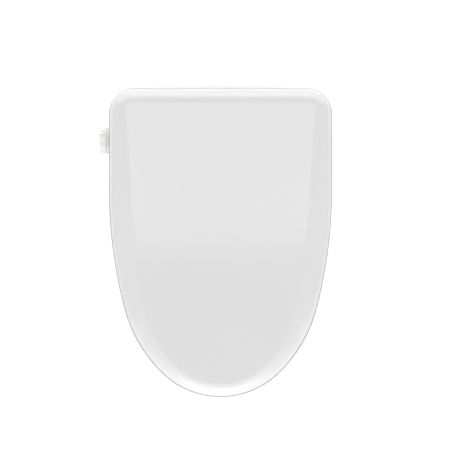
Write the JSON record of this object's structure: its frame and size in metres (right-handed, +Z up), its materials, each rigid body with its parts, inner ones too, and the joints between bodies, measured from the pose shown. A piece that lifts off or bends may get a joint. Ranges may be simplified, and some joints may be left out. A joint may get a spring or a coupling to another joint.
{
  "type": "electric bidet seat",
  "caption": "White bidet toilet seat with a full-cover lid, heated ring, side control knob, twin wash nozzles and a bowl fixing plate.",
  "frame": {"origin": "midway between the two fixing bolts, on the plane where the mounting plate's pad lies on the bowl", "axes": "+Z up, -Y towards the front tip of the seat, -X towards the control knob"},
  "size_m": [0.376, 0.5, 0.158],
  "materials": {
    "lid_plastic": "glossy white polypropylene",
    "seat_plastic": "glossy white polypropylene",
    "case_plastic": "satin white ABS",
    "knob_plastic": "glossy white ABS",
    "nozzle_plastic": "smooth white plastic",
    "grey_plastic": "moulded grey nylon",
    "black_plastic": "black plastic",
    "rubber": "soft grey rubber",
    "steel": "stainless steel",
    "brass": "turned and nickel-free brass",
    "ceramic": "sintered ceramic",
    "hose": "translucent silicone hose",
    "board": "green coated circuit board",
    "foil": "aluminium heating foil"
  },
  "bodies": {
    "base": {"base_tray": "case_plastic", "housing_cover": "case_plastic", "casing_screws": "steel", "base_feet": "rubber", "mounting_plate": "grey_plastic", "plate_pad": "rubber", "bolt_inserts": "grey_plastic", "fixing_bolts": "steel", "bolt_bushes": "rubber", "wing_nuts": "grey_plastic", "knob_bezel": "knob_plastic", "valve_body": "grey_plastic", "valve_end_cap": "grey_plastic", "inlet_connector": "brass", "inlet_filter": "steel", "solenoid_valve": "grey_plastic", "solenoid_coil": "black_plastic", "heater_body": "steel", "heater_element": "ceramic", "heater_end_caps": "grey_plastic", "thermal_cutout": "black_plastic", "vacuum_breaker": "grey_plastic", "cold_hose": "hose", "hot_hose": "hose", "rear_wash_hose": "hose", "front_wash_hose": "hose", "board_case": "black_plastic", "control_board": "board", "board_components": "black_plastic", "power_supply": "black_plastic", "cord_gland": "grey_plastic", "nozzle_carrier": "grey_plastic", "nozzle_port_frame": "case_plastic", "feed_pipes": "steel", "rear_nozzle_motor": "steel", "front_nozzle_motor": "steel", "seat_damper_body": "grey_plastic", "lid_damper_body": "grey_plastic"},
    "seat": {"seat_ring_top": "seat_plastic", "seat_ring_bottom": "seat_plastic", "seat_bumpers": "rubber", "seat_heater": "foil", "seat_thermostat": "steel", "occupancy_sensor": "black_plastic", "seat_damper_shaft": "steel"},
    "lid_body": {"lid": "lid_plastic", "lid_bumpers": "rubber", "lid_damper_shaft": "steel"},
    "knob": {"control_knob": "knob_plastic", "knob_shaft": "steel", "valve_rotor": "ceramic"},
    "release": {"release_button": "case_plastic", "release_latch": "grey_plastic", "latch_spring": "steel"},
    "rear_wash": {"rear_nozzle": "nozzle_plastic", "rear_nozzle_tip": "nozzle_plastic"},
    "front_wash": {"front_nozzle": "nozzle_plastic", "front_nozzle_tip": "nozzle_plastic"},
    "rear_drive": {"rear_nozzle_pinion": "grey_plastic"},
    "front_drive": {"front_nozzle_pinion": "grey_plastic"}
  },
  "joints": [
    {"name": "seat_hinge", "type": "hinge", "parent": "base", "child": "seat", "pos_m": [0, 0.026, 0.068], "axis": [-1, 0, 0], "range_deg": [0, 98]},
    {"name": "lid_hinge", "type": "hinge", "parent": "seat", "child": "lid_body", "pos_m": [0, 0.026, 0.068], "axis": [1, 0, 0], "range_deg": [-108, 0]},
    {"name": "knob_turn", "type": "hinge", "parent": "base", "child": "knob", "pos_m": [-0.19, -0.034, 0.0295], "axis": [1, 0, 0], "range_deg": [-90, 90]},
    {"name": "release_press", "type": "slide", "parent": "base", "child": "release", "axis": [-1, 0, 0], "range_m": [0, 0.0032], "stiffness_N_per_m": 400, "springref_m": -0.003},
    {"name": "rear_nozzle_slide", "type": "slide", "parent": "base", "child": "rear_wash", "axis": [0, -0.9272, -0.3746], "range_m": [0, 0.062]},
    {"name": "front_nozzle_slide", "type": "slide", "parent": "base", "child": "front_wash", "axis": [0, -0.9272, -0.3746], "range_m": [0, 0.062]},
    {"name": "rear_pinion_turn", "type": "hinge", "parent": "base", "child": "rear_drive", "pos_m": [0.026, -0.07409, 0.02362], "axis": [0, -0.3746, 0.9272], "range_deg": [0, 593]},
    {"name": "front_pinion_turn", "type": "hinge", "parent": "base", "child": "front_drive", "pos_m": [-0.026, -0.07409, 0.02362], "axis": [0, -0.3746, 0.9272], "range_deg": [-593, 0]}
  ],
  "couplings": [
    {"joint": "rear_pinion_turn", "follows": "rear_nozzle_slide", "rad_per_m": 166.67},
    {"joint": "front_pinion_turn", "follows": "front_nozzle_slide", "rad_per_m": -166.67}
  ]
}
